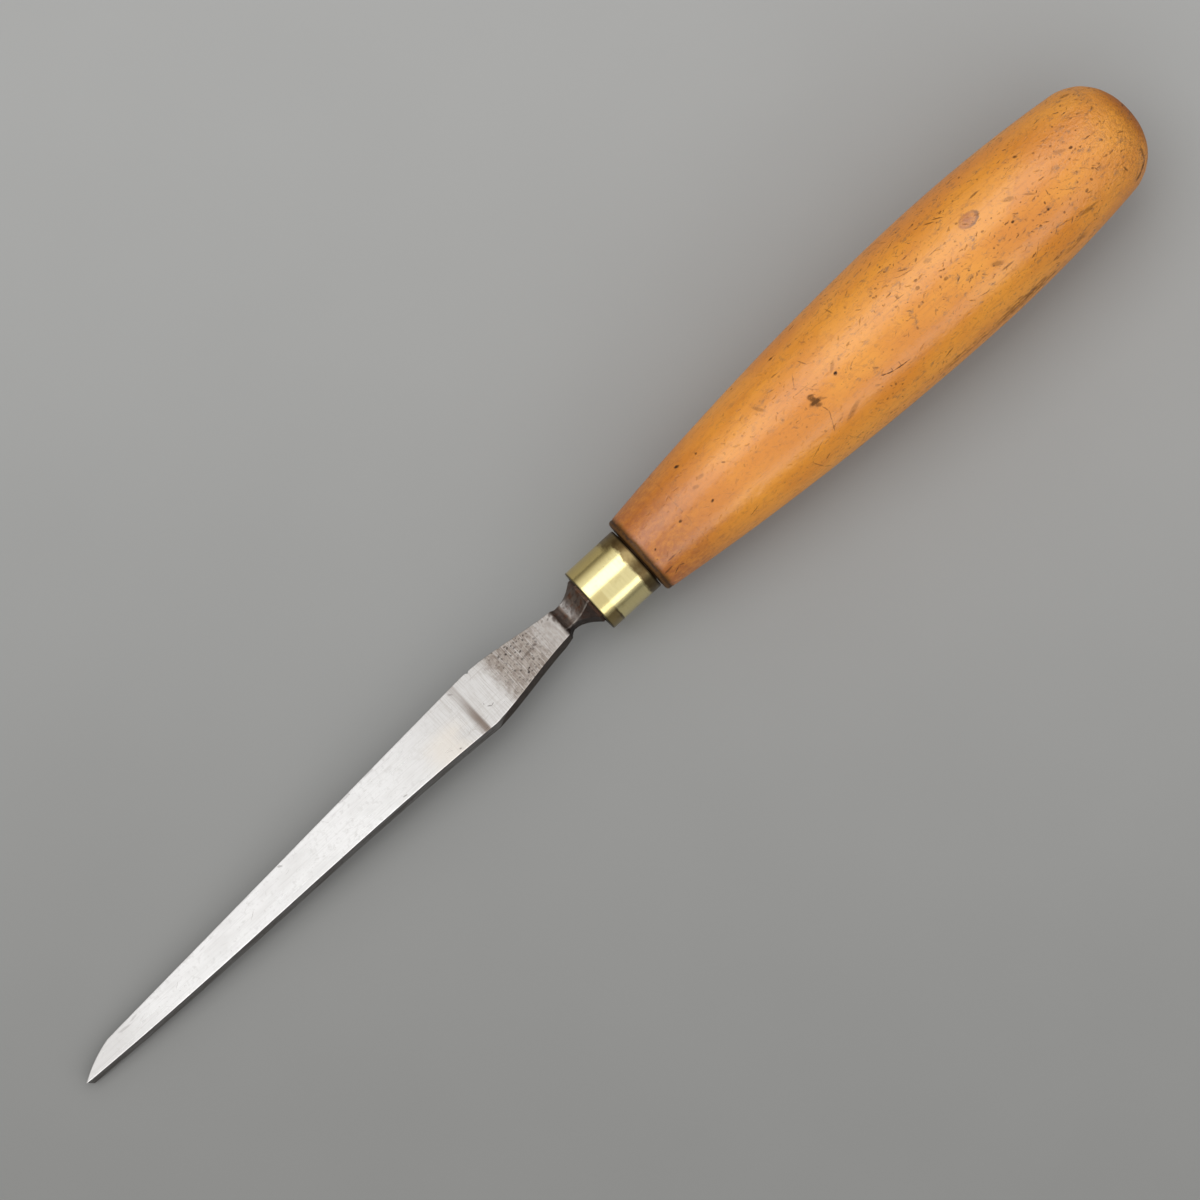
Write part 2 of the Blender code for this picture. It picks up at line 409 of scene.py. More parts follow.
addSoftbox("overheadBox", studio["boxAngle"], studio["boxSize"], studio["boxWatts"])
addSoftbox("sideStrip", studio["stripAngle"], studio["stripSize"], studio["stripWatts"])
addRoom()
addFloor()
bpy.context.scene.view_settings.view_transform = "Standard"
print("studio ready")


# handle
handleForm = {
    "shoulder": 0.0110,
    "butt": 0.1218,
    "shoulderRadius": 0.0075,
    "shoulderRound": 0.0006,
    "belly": 0.0824,
    "bellyRadius": 0.01251,
    "heel": 0.1132,
    "heelRadius": 0.01066,
    "buttSquare": 2.25,  # 2 is a plain oval
    "frontSwell": 1.85,
    "spigotRadius": 0.0048,
    "spigotStart": 0.0003,
    "spigotRing": 0.0035,
    "spacing": 0.0004,
    "fineStart": 0.0131,  # closer rings from here to the shoulder
    "fineSteps": 22,
    "domeSteps": 40,
    "roundSteps": 6,
    "shoulderStep": 0.0007,
    "groove": 0.01185,
    "grooveReach": 0.00017,
    "grooveDepth": 0.00007,
    "turnSteps": 224,
    "socketLength": 0.0423,
    "socketWidths": (0.0052, 0.0028),
    "dents": 90,
    "dentStart": 0.018,
    "dentSpan": 0.100,
    "dentSizes": (0.0006, 0.0016),
    "dentDepth": 0.00007,
    "dentReach": 0.004,
    "ripple": 0.00003,
    "buttRipple": 0.00006,
    "buttWear": (0.108, 0.008),  # where it starts, and the length in which it grows
    "smoothAngle": 40,
}


def handleRadius(along):
    form = handleForm
    if along <= form["belly"]:
        share = (form["belly"] - along) / (form["belly"] - form["shoulder"] - form["shoulderRound"])
        taper = form["bellyRadius"] - form["shoulderRadius"]
        return form["bellyRadius"] - taper * max(share, 0.0) ** form["frontSwell"]
    rear = form["heel"] - form["belly"]
    drop = form["bellyRadius"] - form["heelRadius"]
    if along <= form["heel"]:
        return form["bellyRadius"] - drop * ((along - form["belly"]) / rear) ** 2
    past = along - form["heel"]
    depth = form["butt"] - form["heel"]
    straight = form["heelRadius"] - 2.0 * drop / rear * past
    square = form["buttSquare"]
    return straight * max(0.0, 1.0 - (past / depth) ** square) ** (1.0 / square)


def handleProfile():
    form = handleForm
    profile = []
    depth = form["butt"] - form["heel"]
    for step in range(form["domeSteps"]):
        along = form["heel"] + depth * math.cos(step / form["domeSteps"] * math.pi / 2)
        profile.append((along, handleRadius(along)))
    start = form["shoulder"] + form["shoulderRound"]
    fine = form["fineStart"]
    count = round((form["heel"] - fine) / form["spacing"])
    for step in range(count):
        along = form["heel"] + (fine - form["heel"]) * step / count
        profile.append((along, handleRadius(along)))
    for step in range(form["fineSteps"] + 1):
        along = fine + (start - fine) * step / form["fineSteps"]
        cutIn = form["grooveDepth"] * math.exp(-(((along - form["groove"]) / form["grooveReach"]) ** 2))
        profile.append((along, handleRadius(along) - cutIn))
    for step in range(1, form["roundSteps"] + 1):
        turn = step / form["roundSteps"] * math.pi / 2
        along = start - form["shoulderRound"] * math.sin(turn)
        profile.append((along, form["shoulderRadius"] - form["shoulderRound"] * (1.0 - math.cos(turn))))
    rim = form["shoulderRadius"] - form["shoulderRound"]
    for step in (1, 2):
        profile.append((form["shoulder"], rim - step * form["shoulderStep"]))
    profile.append((form["shoulder"], form["spigotRadius"]))
    profile.append((form["spigotStart"], form["spigotRadius"]))
    profile.append((form["spigotStart"], form["spigotRing"]))
    profile.append((form["spigotStart"], 0.0))
    return profile


def knockAbout(piece):
    # shallow dents all round the grip, more of them towards the butt, and a rough butt
    form = handleForm
    reach = form["dentReach"]
    wearStart, wearLength = form["buttWear"]
    chance = random.Random(7)
    rows = {}
    for _ in range(form["dents"]):
        along = form["dentStart"] + form["dentSpan"] * chance.random() ** 0.7
        lean = chance.uniform(-1.0, 1.0)
        size = chance.uniform(*form["dentSizes"])
        dent = (along, chance.uniform(-math.pi, math.pi), lean, size, size * chance.uniform(0.3, 0.8))
        depth = form["dentDepth"] * chance.uniform(0.3, 1.0)
        for row in range(int((along - reach) * 1000), int((along + reach) * 1000) + 1):
            rows.setdefault(row, []).append(dent + (depth,))
    for vertex in piece.data.vertices:
        along, y, z = vertex.co
        radius = math.hypot(y, z)
        if along < form["shoulder"] + form["shoulderRound"] or radius < 0.0001:
            continue
        around = math.atan2(y, z)
        sink = 0.0
        for dentAlong, dentTurn, lean, length, width, depth in rows.get(int(along * 1000), ()):
            u = along - dentAlong
            v = ((around - dentTurn + math.pi) % (2 * math.pi) - math.pi) * radius
            if abs(v) < reach:
                far = ((u * math.cos(lean) + v * math.sin(lean)) / length) ** 2
                far += ((v * math.cos(lean) - u * math.sin(lean)) / width) ** 2
                sink += depth * math.exp(-far)
        sink += form["ripple"] * (0.5 + noise.noise(vertex.co * 55.0))
        worn = max(0.0, min(1.0, (along - wearStart) / wearLength))
        sink += worn * form["buttRipple"] * (0.4 + noise.noise(vertex.co * 520.0))
        vertex.co = (along, y * (1.0 - sink / radius), z * (1.0 - sink / radius))


def cutSocket(piece):
    form = handleForm
    deselectAll()
    wide, narrow = form["socketWidths"]
    bpy.ops.mesh.primitive_cone_add(
        vertices=4, radius1=wide / math.sqrt(2), radius2=narrow / math.sqrt(2), depth=form["socketLength"]
    )
    socket = bpy.context.object
    turned = Matrix.Rotation(math.pi / 2, 4, "Y") @ Matrix.Rotation(math.pi / 4, 4, "Z")
    socket.data.transform(Matrix.Translation((form["socketLength"] / 2, 0, 0)) @ turned)
    cut = piece.modifiers.new("socket", "BOOLEAN")
    cut.operation = "DIFFERENCE"
    cut.solver = "EXACT"
    cut.object = socket
    takeUp(piece)
    bpy.ops.object.modifier_apply(modifier="socket")
    bpy.data.objects.remove(socket, do_unlink=True)


# marks that show on the grip: from along, across, to along, across, half width, strength
gripMarks = [
    # knots and worm holes
    (25.5, -6.8, 25.8, -6.7, 0.37, 0.95),
    (29.4, -6.2, 29.5, -6.2, 0.22, 0.75),
    (26.0, 1.5, 26.3, 1.4, 0.25, 0.90),
    (19.8, 0.4, 20.1, 0.4, 0.22, 0.85),
    (13.7, 1.1, 13.8, 1.0, 0.20, 0.80),
    (12.8, 2.5, 12.9, 2.5, 0.15, 0.50),
    (55.3, -0.4, 55.5, -0.5, 0.32, 1.00),
    (41.2, -10.2, 41.3, -10.2, 0.23, 0.70),
    (94.0, 0.8, 94.2, 0.8, 0.25, 0.90),
    (99.9, 3.3, 100.0, 3.3, 0.23, 0.80),
    (106.8, 5.3, 107.0, 5.2, 0.30, 0.80),
    (109.5, -1.9, 109.8, -1.8, 0.28, 0.85),
    (101.7, -7.0, 102.0, -6.9, 0.32, 0.80),
    (74.9, -1.7, 75.1, -1.7, 0.38, 0.55),
    (79.4, 0.3, 79.7, 0.3, 0.33, 0.55),
    (75.5, -2.8, 75.8, -2.8, 0.27, 0.45),
    (89.2, -1.4, 89.4, -1.4, 0.23, 0.60),
    # scratches
    (14.0, 3.9, 15.9, 3.9, 0.13, 0.55),
    (12.4, 5.1, 14.0, 5.0, 0.25, 0.60),
    (13.7, 6.2, 14.8, 5.7, 0.15, 0.70),
    (15.1, 5.7, 15.8, 6.0, 0.17, 0.70),
    (29.2, 7.6, 31.5, 7.2, 0.13, 0.60),
    (31.6, -2.2, 32.0, -1.9, 0.17, 0.55),
    (48.7, -9.5, 50.2, -9.5, 0.13, 0.50),
    (49.1, -9.5, 49.5, -9.5, 0.25, 0.80),
    (54.7, -10.9, 56.2, -11.1, 0.15, 0.75),
    (47.4, -2.2, 51.4, -2.1, 0.12, 0.30),
    (48.7, -3.2, 50.1, -5.2, 0.12, 0.40),
    (52.2, -6.2, 52.9, -4.8, 0.15, 0.50),
    (47.2, -7.1, 48.2, -7.0, 0.18, 0.50),
    (61.5, -9.5, 61.9, -8.2, 0.17, 0.55),
    (45.0, 9.1, 46.0, 8.8, 0.17, 0.70),
    (83.0, -8.8, 84.6, -8.0, 0.15, 0.70),
    (84.6, -8.5, 86.2, -7.6, 0.15, 0.75),
    (74.5, -6.0, 75.9, -5.3, 0.17, 0.60),
    (77.8, -5.2, 78.2, -5.5, 0.20, 0.60),
    (70.3, -2.7, 72.7, -2.5, 0.12, 0.50),
    (80.0, -4.4, 82.2, -4.4, 0.10, 0.45),
    (71.0, 9.9, 72.9, 9.6, 0.15, 0.70),
    (108.0, -8.9, 109.4, -8.9, 0.12, 0.65),
    (101.6, 1.4, 101.8, 0.6, 0.15, 0.60),
    (95.2, 10.2, 96.2, 10.1, 0.20, 0.65),
    (114.2, 6.5, 114.3, 7.4, 0.18, 0.70),
    (110.4, 3.3, 110.5, 4.0, 0.13, 0.55),
    (110.4, 3.7, 111.7, 3.6, 0.12, 0.50),
    (98.5, -1.4, 100.0, -0.2, 0.22, 0.40),
    (91.5, -6.9, 93.4, -6.9, 0.23, 0.60),
    # a curved crack with two short branches
    (60.9, 5.0, 61.7, 5.4, 0.12, 0.80),
    (61.7, 5.4, 63.0, 5.8, 0.13, 0.85),
    (63.0, 5.8, 66.2, 6.2, 0.13, 0.85),
    (62.9, 5.1, 62.8, 5.7, 0.10, 0.50),
    (64.5, 5.2, 64.5, 6.0, 0.10, 0.50),
    # a hairline that bends round the grip
    (50.1, 2.1, 50.5, 3.4, 0.12, 0.50),
    (50.5, 3.4, 49.8, 5.0, 0.12, 0.50),
    (49.8, 5.0, 49.0, 6.6, 0.12, 0.45),
    (43.0, 7.6, 46.5, 6.4, 0.13, 0.40),
    (42.8, 7.9, 44.0, 9.8, 0.13, 0.45),
    (44.0, 9.8, 45.1, 10.5, 0.13, 0.45),
    # an ink-dark stain
    (49.5, -0.35, 49.8, -0.25, 0.52, 0.74),
    (49.6, 0.15, 49.9, 0.45, 0.50, 0.78),
    (49.0, 0.80, 50.6, 0.90, 0.52, 0.84),
    (49.6, 1.35, 50.1, 1.65, 0.46, 0.62),
    (50.5, 0.9, 51.6, 1.5, 0.24, 0.42),
    # smears
    (51.9, 6.7, 55.2, 5.5, 0.50, 0.35),
    (87.0, 3.9, 88.2, 4.5, 0.53, 0.45),
    (87.5, 5.6, 89.9, 5.7, 0.23, 0.55),
    (103.4, 7.6, 107.0, 7.8, 0.37, 0.55),
    (104.4, 7.7, 105.7, 7.8, 0.53, 0.45),
    (95.8, -2.6, 96.7, -2.2, 0.47, 0.40),
    (55.2, -1.2, 56.5, -2.2, 0.37, 0.35),
    (79.0, -4.1, 79.7, -3.9, 0.47, 0.30),
    (107.0, -3.0, 108.7, -2.2, 0.37, 0.35),
    (25.4, -2.2, 25.9, -2.0, 0.40, 0.30),
    (27.0, -2.9, 27.7, -2.8, 0.40, 0.30),
    (41.5, -5.5, 42.5, -3.8, 0.37, 0.35),
    # rubbed corners of the butt
    (114.6, 9.6, 116.2, 9.0, 0.33, 0.75),
    (116.2, 9.0, 117.8, 8.0, 0.33, 0.80),
    (117.8, 8.0, 118.8, 5.6, 0.25, 0.60),
    (114.4, -9.1, 115.7, -8.7, 0.43, 0.50),
]

# broad scuffs where it lay on the bench
benchScuffs = [
    (70.0, 11.4, 80.5, 11.6, 1.10, 0.66),
    (80.0, 11.7, 95.0, 11.6, 1.50, 0.80),
    (83.5, 11.0, 88.0, 11.1, 0.60, 0.70),
    (97.0, 10.6, 103.0, 10.4, 0.70, 0.50),
]

boxwoodLook = {
    "honey": (0.765, 0.294, 0.020, 1.0),
    "amber": (0.66, 0.222, 0.010, 1.0),
    "russet": (0.36, 0.100, 0.012, 1.0),
    "grain": (0.45, 0.145, 0.015, 1.0),
    "bruise": (0.036, 0.015, 0.006, 1.0),
    "smoke": (0.27, 0.118, 0.032, 1.0),
    # grime, also painted as shade by the ferrule
    "grimeAndShade": (0.068, 0.032, 0.007, 1.0),
    "knot": (0.36, 0.100, 0.018, 1.0),
    "knotPlace": (88.9, -4.45, 1.95, 1.22),  # along, across, half length, half width
    "pith": (0.0, 7.0, -5.0),  # middle of the growth rings, off the tool's axis
    "ringEvery": 1.1,
    "polish": 0.50,
    "shine": 0.14,
    "coat": 0.50,
    "coatPolish": 0.26,
    "coatIndex": 2.0,
    # millimetres along, from where each starts to where it is full
    "foreRed": (34.0, 11.0),
    "rearRed": (118.3, 122.2),
    "dirtAndShade": (13.40, 12.20),
    "rubbedEnd": (116.5, 121.0),
    "seamAndShade": 12.0,
    "latheRing": 21.3,
    # checks in the end grain, as angles round the butt
    "checks": (0.4, 1.7, 2.6, 4.1, 5.3),
}


def gripEnds(mark):
    ends = []
    for along, across in (mark[0:2], mark[2:4]):
        radius = handleRadius(along / 1000) * 1000
        ends.append(Vector((along, math.asin(max(-1.0, min(1.0, across / radius))) * radius)))
    return ends


def boxwoodFinish():
    look = boxwoodLook
    finish, shader = newFinish("wornBoxwood")
    space = roundSpace()
    place, along, plane = space["place"], space["along"], space["plane"]
    loose = wobbled(plane, 1.6, 0.9)
    tight = wobbled(plane, 0.45, 0.42)
    firm = wobbled(plane, 0.6, 0.22)

    # ground colour: broad clouds, faint growth rings, fine lengthwise grain, redder at both ends
    broad = cloud(place, (0.055, 0.13, 0.13), 3.0)
    ground = tint(fade(broad, 0.34, 0.64), look["amber"], look["honey"])
    fine = cloud(place, (0.11, 2.0, 2.0), 4.0, 0.62)
    ground = tint(fade(fine, 0.50, 0.76, 0.0, 0.42), ground, look["grain"])
    mottle = cloud(place, (0.8, 1.1, 1.1), 5.0, 0.70)
    ground = tint(fade(mottle, 0.50, 0.72, 0.0, 0.46), ground, look["grain"])
    fromPith = stretch(shift(place, -Vector(look["pith"])), (0.02, 1.0, 1.0))
    fromPith = vectorCalc("LENGTH", fromPith)["Value"]
    fromPith = addScaled(broad, 5.0, fromPith)
    rings = calc("SINE", times(fromPith, 2 * math.pi / look["ringEvery"]))
    ringShare = fade(along, 115.5, 121.5, 0.05, 0.28)
    ground = tint(times(fade(rings, 0.0, 1.0), ringShare), ground, look["grain"])
    fore = fadedBy(fade(along, *look["foreRed"]), mottle, 0.25, 0.65, 0.52, 1.0)
    ends = most(fore, fade(along, *look["rearRed"], 0.0, 0.90))
    ground = tint(ends, ground, look["russet"])

    # small wear: pores, flecks, scratches, specks and smoky stains, thicker towards the butt
    crowd = fade(along, 22.0, 80.0, 0.36, 1.0)
    patches = fade(cloud(place, (0.10, 0.14, 0.14), 2.0), 0.34, 0.56, 0.35, 1.0)
    crowd = times(crowd, patches)
    stains = fade(cloud(loose, (0.50, 0.80, 0.80), 5.0, 0.68), 0.53, 0.70)
    stains = times(stains, times(crowd, 0.84))
    pores = strokes(tight, 0.80, 0.50, 0.12, 0.75, 0.45, 1)
    wear = times(pores, 0.46)
    dots = specks(tight, 1.25, 0.38, 0.66, 4)
    wear = most(wear, times(dots, 0.82))
    flecks = strokes(tight, 1.5, 0.95, 0.21, 0.68, 0.9, 2)
    wear = most(wear, times(flecks, 0.72))
    scratches = strokes(loose, 4.2, 3.0, 0.13, 0.60, 1.3, 3)
    wear = most(wear, times(scratches, 0.60))
    broken = fade(cloud(plane, (2.1, 2.1, 1.0), 3.0), 0.32, 0.56, 0.34, 1.0)
    wear = times(wear, times(crowd, broken))

    # wrinkled wear on the butt, most of it on the side that is knocked, and scuffs from the bench
    crease = cloud(place, (1.2, 1.5, 1.5), 4.0, 0.62)
    wrinkled = fade(apart(crease, 0.5), 0.036, 0.005, 0.0, 0.52)
    wrinkled = fadedBy(wrinkled, along, 108.0, 118.0)
    wrinkled = fadedBy(wrinkled, space["across"], -8.0, 6.0, 0.12, 1.0)
    wear = most(wear, times(wrinkled, broken))
    scuffed = times(along, 0.0)
    for mark in benchScuffs:
        scuffed = addMark(loose, scuffed, *gripEnds(mark), mark[4], mark[5])
    scuffed = fadedBy(scuffed, calc("ADD", fine, mottle), 0.80, 1.16, 0.05, 0.85)
    wear = most(wear, scuffed)
    marked = times(along, 0.0)
    for mark in gripMarks:
        marked = addMark(firm, marked, *gripEnds(mark), mark[4], mark[5])
    marked = fadedBy(marked, broken, 0.40, 0.8, 0.72, 1.0)

    # the oval knot, darker at its rear end and along its lower edge
    knotAlong, knotAcross, knotLong, knotWide = look["knotPlace"]
    knotRadius = handleRadius(knotAlong / 1000) * 1000
    middle = Vector((knotAlong, math.asin(knotAcross / knotRadius) * knotRadius, 0.0))
    sizes = (1.0 / knotLong, 1.0 / knotWide, 0.0)
    knotSpace = stretch(shift(tight, -middle), sizes)
    knotFar = vectorCalc("LENGTH", knotSpace)["Value"]
    knot = fadedBy(fade(knotFar, 1.12, 0.82), mottle, 0.30, 0.62, 0.30, 0.80)
    rim = fadedBy(fade(knotFar, 1.18, 1.0), knotFar, 0.66, 1.0)
    lower = fade(dot(knotSpace, (0.75, 0.65, 0.0)), -0.5, 0.9, 0.10, 0.62)
    rim = times(rim, lower)

    # checks in the end grain, and a faint ring left by the lathe
    behind = stretch(wobbled(place, 1.2, 0.5), (0.0, 1.0, 1.0))
    checks = times(along, 0.0)
    for turn in look["checks"]:
        heading = (0.0, math.cos(turn), math.sin(turn))
        off = calc("ABSOLUTE", dot(behind, (0.0, -math.sin(turn), math.cos(turn))))
        out = dot(behind, heading)
        crack = fadedBy(fade(off, 0.11, 0.03), out, 0.3, 1.2)
        checks = most(checks, fadedBy(crack, out, 6.2, 3.0))
    checks = fadedBy(checks, along, 116.5, 119.5, 0.0, 0.75)
    lathe = apart(along, look["latheRing"])
    lathe = fadedBy(fade(lathe, 0.22, 0.04), mottle, 0.40, 0.62, 0.0, 0.24)
    small = most(most(wear, rim), most(checks, lathe))

    colour = tint(stains, ground, look["smoke"])
    colour = tint(knot, colour, look["knot"])
    colour = tint(small, colour, look["bruise"])
    colour = tint(marked, colour, look["bruise"])

    # grime and painted shade that fade back from the front corner against the ferrule, with a broken dark
    # line of grime and painted shade in it
    edge = addScaled(mottle, 1.1, along)
    dirtAndShade = fade(edge, *look["dirtAndShade"], 0.0, 0.93)
    colour = tint(dirtAndShade, colour, look["grimeAndShade"])
    # painted shade and grime: a broken dark line in the gap by the ferrule
    seamAndShade = apart(addScaled(mottle, 0.7, along), look["seamAndShade"])
    seamAndShade = fadedBy(fade(seamAndShade, 0.36, 0.06), mottle, 0.40, 0.58, 0.20, 0.90)
    colour = tint(seamAndShade, colour, look["bruise"])
    feed(shader, {"Base Color": colour})

    # worn polish, with no coat left on the grime and painted shade by the ferrule, marks and the rubbed end
    hurt = most(wear, marked)
    gloss = addScaled(mottle, 0.20, look["polish"] - 0.10)
    gloss = addScaled(hurt, 0.25, gloss)
    feed(shader, {"Roughness": gloss, "Specular IOR Level": look["shine"]})
    dead = most(dirtAndShade, hurt)
    dead = most(dead, fade(along, *look["rubbedEnd"], 0.0, 0.85))
    coat = fade(dead, 0.0, 1.0, look["coat"], 0.03)
    feed(shader, {"Coat Weight": coat, "Coat Roughness": look["coatPolish"], "Coat IOR": look["coatIndex"]})

    height = times(fine, 0.007)
    height = addScaled(cloud(place, (0.35, 0.6, 0.6), 3.0), 0.06, height)
    rough = fadedBy(crease, along, 98.0, 117.0, 0.03, 0.34)
    height = calc("ADD", height, rough)
    height = addScaled(flecks, -0.04, height)
    bump = emboss(height)
    feed(shader, {"Normal": bump, "Coat Normal": bump})
    return finish


handle = turnOnLathe("boxwoodHandle", handleProfile(), handleForm["turnSteps"])
knockAbout(handle)
cutSocket(handle)
settle(handle, boxwoodFinish(), "handle", handleForm["smoothAngle"])


# ferrule
ferruleForm = {
    "length": 0.0107,
    "radius": 0.0061,
    "bore": 0.0051,
    "rim": 0.00022,
    "rimSteps": 4,
    "rings": 30,
    "turnSteps": 192,
    "sway": 0.00002,
    "boreMargin": 0.0002,
    "smoothAngle": 40,
}


def ferruleProfile():
    form = ferruleForm
    profile = [(form["length"], form["bore"])]
    for step in range(form["rimSteps"] + 1):
        turn = step / form["rimSteps"] * math.pi / 2
        along = form["length"] - form["rim"] * (1 - math.cos(turn))
        profile.append((along, form["radius"] - form["rim"] * (1 - math.sin(turn))))
    straight = form["length"] - 2 * form["rim"]
    for step in range(1, form["rings"]):
        along = form["length"] - form["rim"] - straight * step / form["rings"]
        profile.append((along, form["radius"]))
    for step in range(form["rimSteps"] + 1):
        turn = step / form["rimSteps"] * math.pi / 2
        along = form["rim"] * (1 - math.sin(turn))
        profile.append((along, form["radius"] - form["rim"] * (1 - math.cos(turn))))
    profile.append((0.0, form["bore"]))
    profile.append((form["length"], form["bore"]))
    return profile


def swayFerrule(piece):
    # thin tube, never quite true
    for vertex in piece.data.vertices:
        along, y, z = vertex.co
        radius = math.hypot(y, z)
        if radius > ferruleForm["bore"] + ferruleForm["boreMargin"]:
            grow = 1.0 + ferruleForm["sway"] * noise.noise(vertex.co * 260.0) / radius
            vertex.co = (along, y * grow, z * grow)


brassLook = {
    "bright": (0.875, 0.762, 0.385, 1.0),
    "dull": (0.64, 0.51, 0.215, 1.0),
    # painted reflection tint for the ferrule's upper side
    "giltReflection": (0.74, 0.56, 0.20, 1.0),
    "tarnish": (0.128, 0.076, 0.027, 1.0),
    # soot, also painted as shade at the rims
    "sootAndShade": (0.035, 0.023, 0.011, 1.0),
    "polish": 0.19,
    # millimetres along, from where each starts to where it is full
    "rearTarnish": (9.15, 9.75),
    "topTarnish": (7.6, 8.6),
}


def brassFinish():
    look = brassLook
    finish, shader = newFinish("polishedBrass")
    space = roundSpace()
    place, along, across, plane = space["place"], space["along"], space["across"], space["plane"]
    lathe = cloud(place, (9.0, 0.22, 0.22), 3.0, 0.6)
    blotch = cloud(place, (0.45, 0.45, 0.45), 4.0, 0.6)
    waver = cloud(place, (0.9, 0.55, 0.55), 4.0, 0.6)

    colour = tint(fade(lathe, 0.40, 0.72, 0.0, 0.22), look["bright"], look["dull"])
    colour = tint(fade(blotch, 0.52, 0.74, 0.0, 0.35), colour, look["dull"])
    # painted reflection: a deeper gold painted on the upper side, standing in for how the brass reflects
    # there
    colour = tint(fade(across, -2.6, -4.6, 0.0, 0.75), colour, look["giltReflection"])
    front = addScaled(waver, 0.7, along)
    band = fadedBy(fade(front, 3.0, 2.6, 0.0, 0.55), across, -0.8, 0.6)
    colour = tint(band, colour, look["dull"])

    # tarnish: a band at the rear, deeper at the top, and a patch low at the front
    ragged = addScaled(waver, 1.5, along)
    rear = fade(ragged, *look["rearTarnish"])
    patch = fadedBy(fade(front, 3.0, 2.75), across, 3.5, 4.2)
    stain = most(rear, times(patch, 0.85))
    top = fadedBy(fade(ragged, *look["topTarnish"]), across, -3.7, -4.7)
    stain = most(stain, times(top, 0.95))
    colour = tint(fadedBy(stain, blotch, 0.30, 0.66, 0.98, 0.82), colour, look["tarnish"])
    deep = fadedBy(rear, across, -1.2, 4.5, 0.0, 0.45)
    colour = tint(deep, colour, look["sootAndShade"])

    # painted shade in the gaps at both rims, soot along the patch's edge, specks and nicks between
    # painted shade: dark at both rims, in the gaps at the mouth and against the handle
    rimShade = most(fade(along, 0.40, 0.08), fade(along, 10.15, 10.45))
    line = fadedBy(fade(front, 2.35, 2.65), front, 3.05, 2.75)
    line = fadedBy(line, across, 3.3, 4.3, 0.0, 0.55)
    dots = times(specks(wobbled(plane, 0.4, 0.12), 1.5, 0.15, 0.24, 2), 0.7)
    nicks = times(strokes(plane, 2.4, 1.1, 0.05, 0.5, 1.4, 3), 0.30)
    sootAndShade = most(most(times(rimShade, 0.85), line), most(dots, nicks))
    colour = tint(sootAndShade, colour, look["sootAndShade"])
    feed(shader, {"Base Color": colour})

    gloss = addScaled(lathe, 0.14, look["polish"] - 0.07)
    gloss = addScaled(most(stain, sootAndShade), 0.16, gloss)
    feed(shader, {"Metallic": 1.0, "Roughness": gloss})
    height = times(lathe, 0.004)
    height = addScaled(blotch, 0.012, height)
    height = addScaled(nicks, -0.02, height)
    feed(shader, {"Normal": emboss(height)})
    return finish


ferrule = turnOnLathe("brassFerrule", ferruleProfile(), ferruleForm["turnSteps"])
swayFerrule(ferrule)
settle(ferrule, brassFinish(), "ferrule", ferruleForm["smoothAngle"])


# blade
bladeForm = {
    "length": 0.11595,
    "endLength": 0.0076,
    "endBulge": 0.0004,
    "endBevel": 0.0005,
    "noseWidth": 0.0002,
    "tipOffset": 0.0040,
    "kneeOffset": 0.0005,
    "pointCurve": (0.0040, 0.00555, 0.0041, 0.0058),
    "shoulder": 0.0251,
    "shoulderFar": 0.0049,
    "sweeps": (0.0052, 0.0033),
    "neck": 0.0061,
    "neckHalf": 0.0028,
    "face": 0.0014,
    "tipThick": 0.00212,
    "shoulderThick": 0.0025,
    "neckThick": 0.0027,
    # hollow behind the face: along, top, underside, half width
    "hollow": (
        (-0.00602, 0.00137, -0.00130, 0.00273),
        (-0.00592, 0.00131, -0.00130, 0.00265),
        (-0.00578, 0.00121, -0.00129, 0.00254),
        (-0.00560, 0.00110, -0.00127, 0.00243),
        (-0.00540, 0.00101, -0.00125, 0.00233),
        (-0.00515, 0.00096, -0.00122, 0.00224),
        (-0.00488, 0.00098, -0.00118, 0.00217),
    ),
    "setOver": 0.0005,  # the neck and bolster stand off the middle, towards the far side
    "waist": 0.0046,
    "waistHalf": 0.00215,
    "waistHigh": 0.00108,
    "bolsterHalf": 0.00435,
    "bolsterHigh": 0.00365,
    "bolsterChamfer": 0.00245,
    "bolsterLand": 0.0005,
    "flare": 1.8,
    "ease": 0.000045,
    "lowEase": 0.00018,
    "neckRound": 0.0009,  # lower corners taken off towards the neck
    "roundStart": 0.0090,
    "hold": 0.0001,
    "easeLimit": 0.36,  # most of a side that a corner may take
    "holdLimit": 0.44,
    "rounded": 0.29,  # middle point of a round corner, and of a plain chamfer
    "chamfered": 0.5,
    "tangLength": 0.042,
    "tangWidths": (0.0046, 0.0022),
    # nicks in the far edge: along, reach, depth
    "nicks": (
        (-0.0231, 0.00022, 0.00034),
        (-0.0252, 0.00016, 0.00010),
        (-0.0165, 0.00020, 0.00016),
        (-0.0139, 0.00018, 0.00012),
    ),
    "edgeWaver": 0.000014,
    "endSteps": 36,
    "bladeSteps": 150,
    "neckSteps": 120,
    "bolsterSteps": 30,
    "smoothAngle": 30,
}


def bend(points, share):
    start, leave, arrive, end = points
    rest = 1.0 - share
    return rest**3 * start + 3 * rest * share * (rest * leave + share * arrive) + share**3 * end


def cornerRing(corners, eases, flat):
    # five points at each corner, with a held edge on both sides
    form = bladeForm
    ring = []
    for place, corner in enumerate(corners):
        ease = eases[place // 2]
        before = corners[place - 1] - corner
        after = corners[(place + 1) % 4] - corner
        back = before.normalized() * min(ease, form["easeLimit"] * before.length)
        on = after.normalized() * min(ease, form["easeLimit"] * after.length)
        holdBack = before.normalized() * min(ease + form["hold"], form["holdLimit"] * before.length)
        holdOn = after.normalized() * min(ease + form["hold"], form["holdLimit"] * after.length)
        for offset in (holdBack, back, (back + on) * flat, on, holdOn):
            ring.append(corner + offset)
    return ring


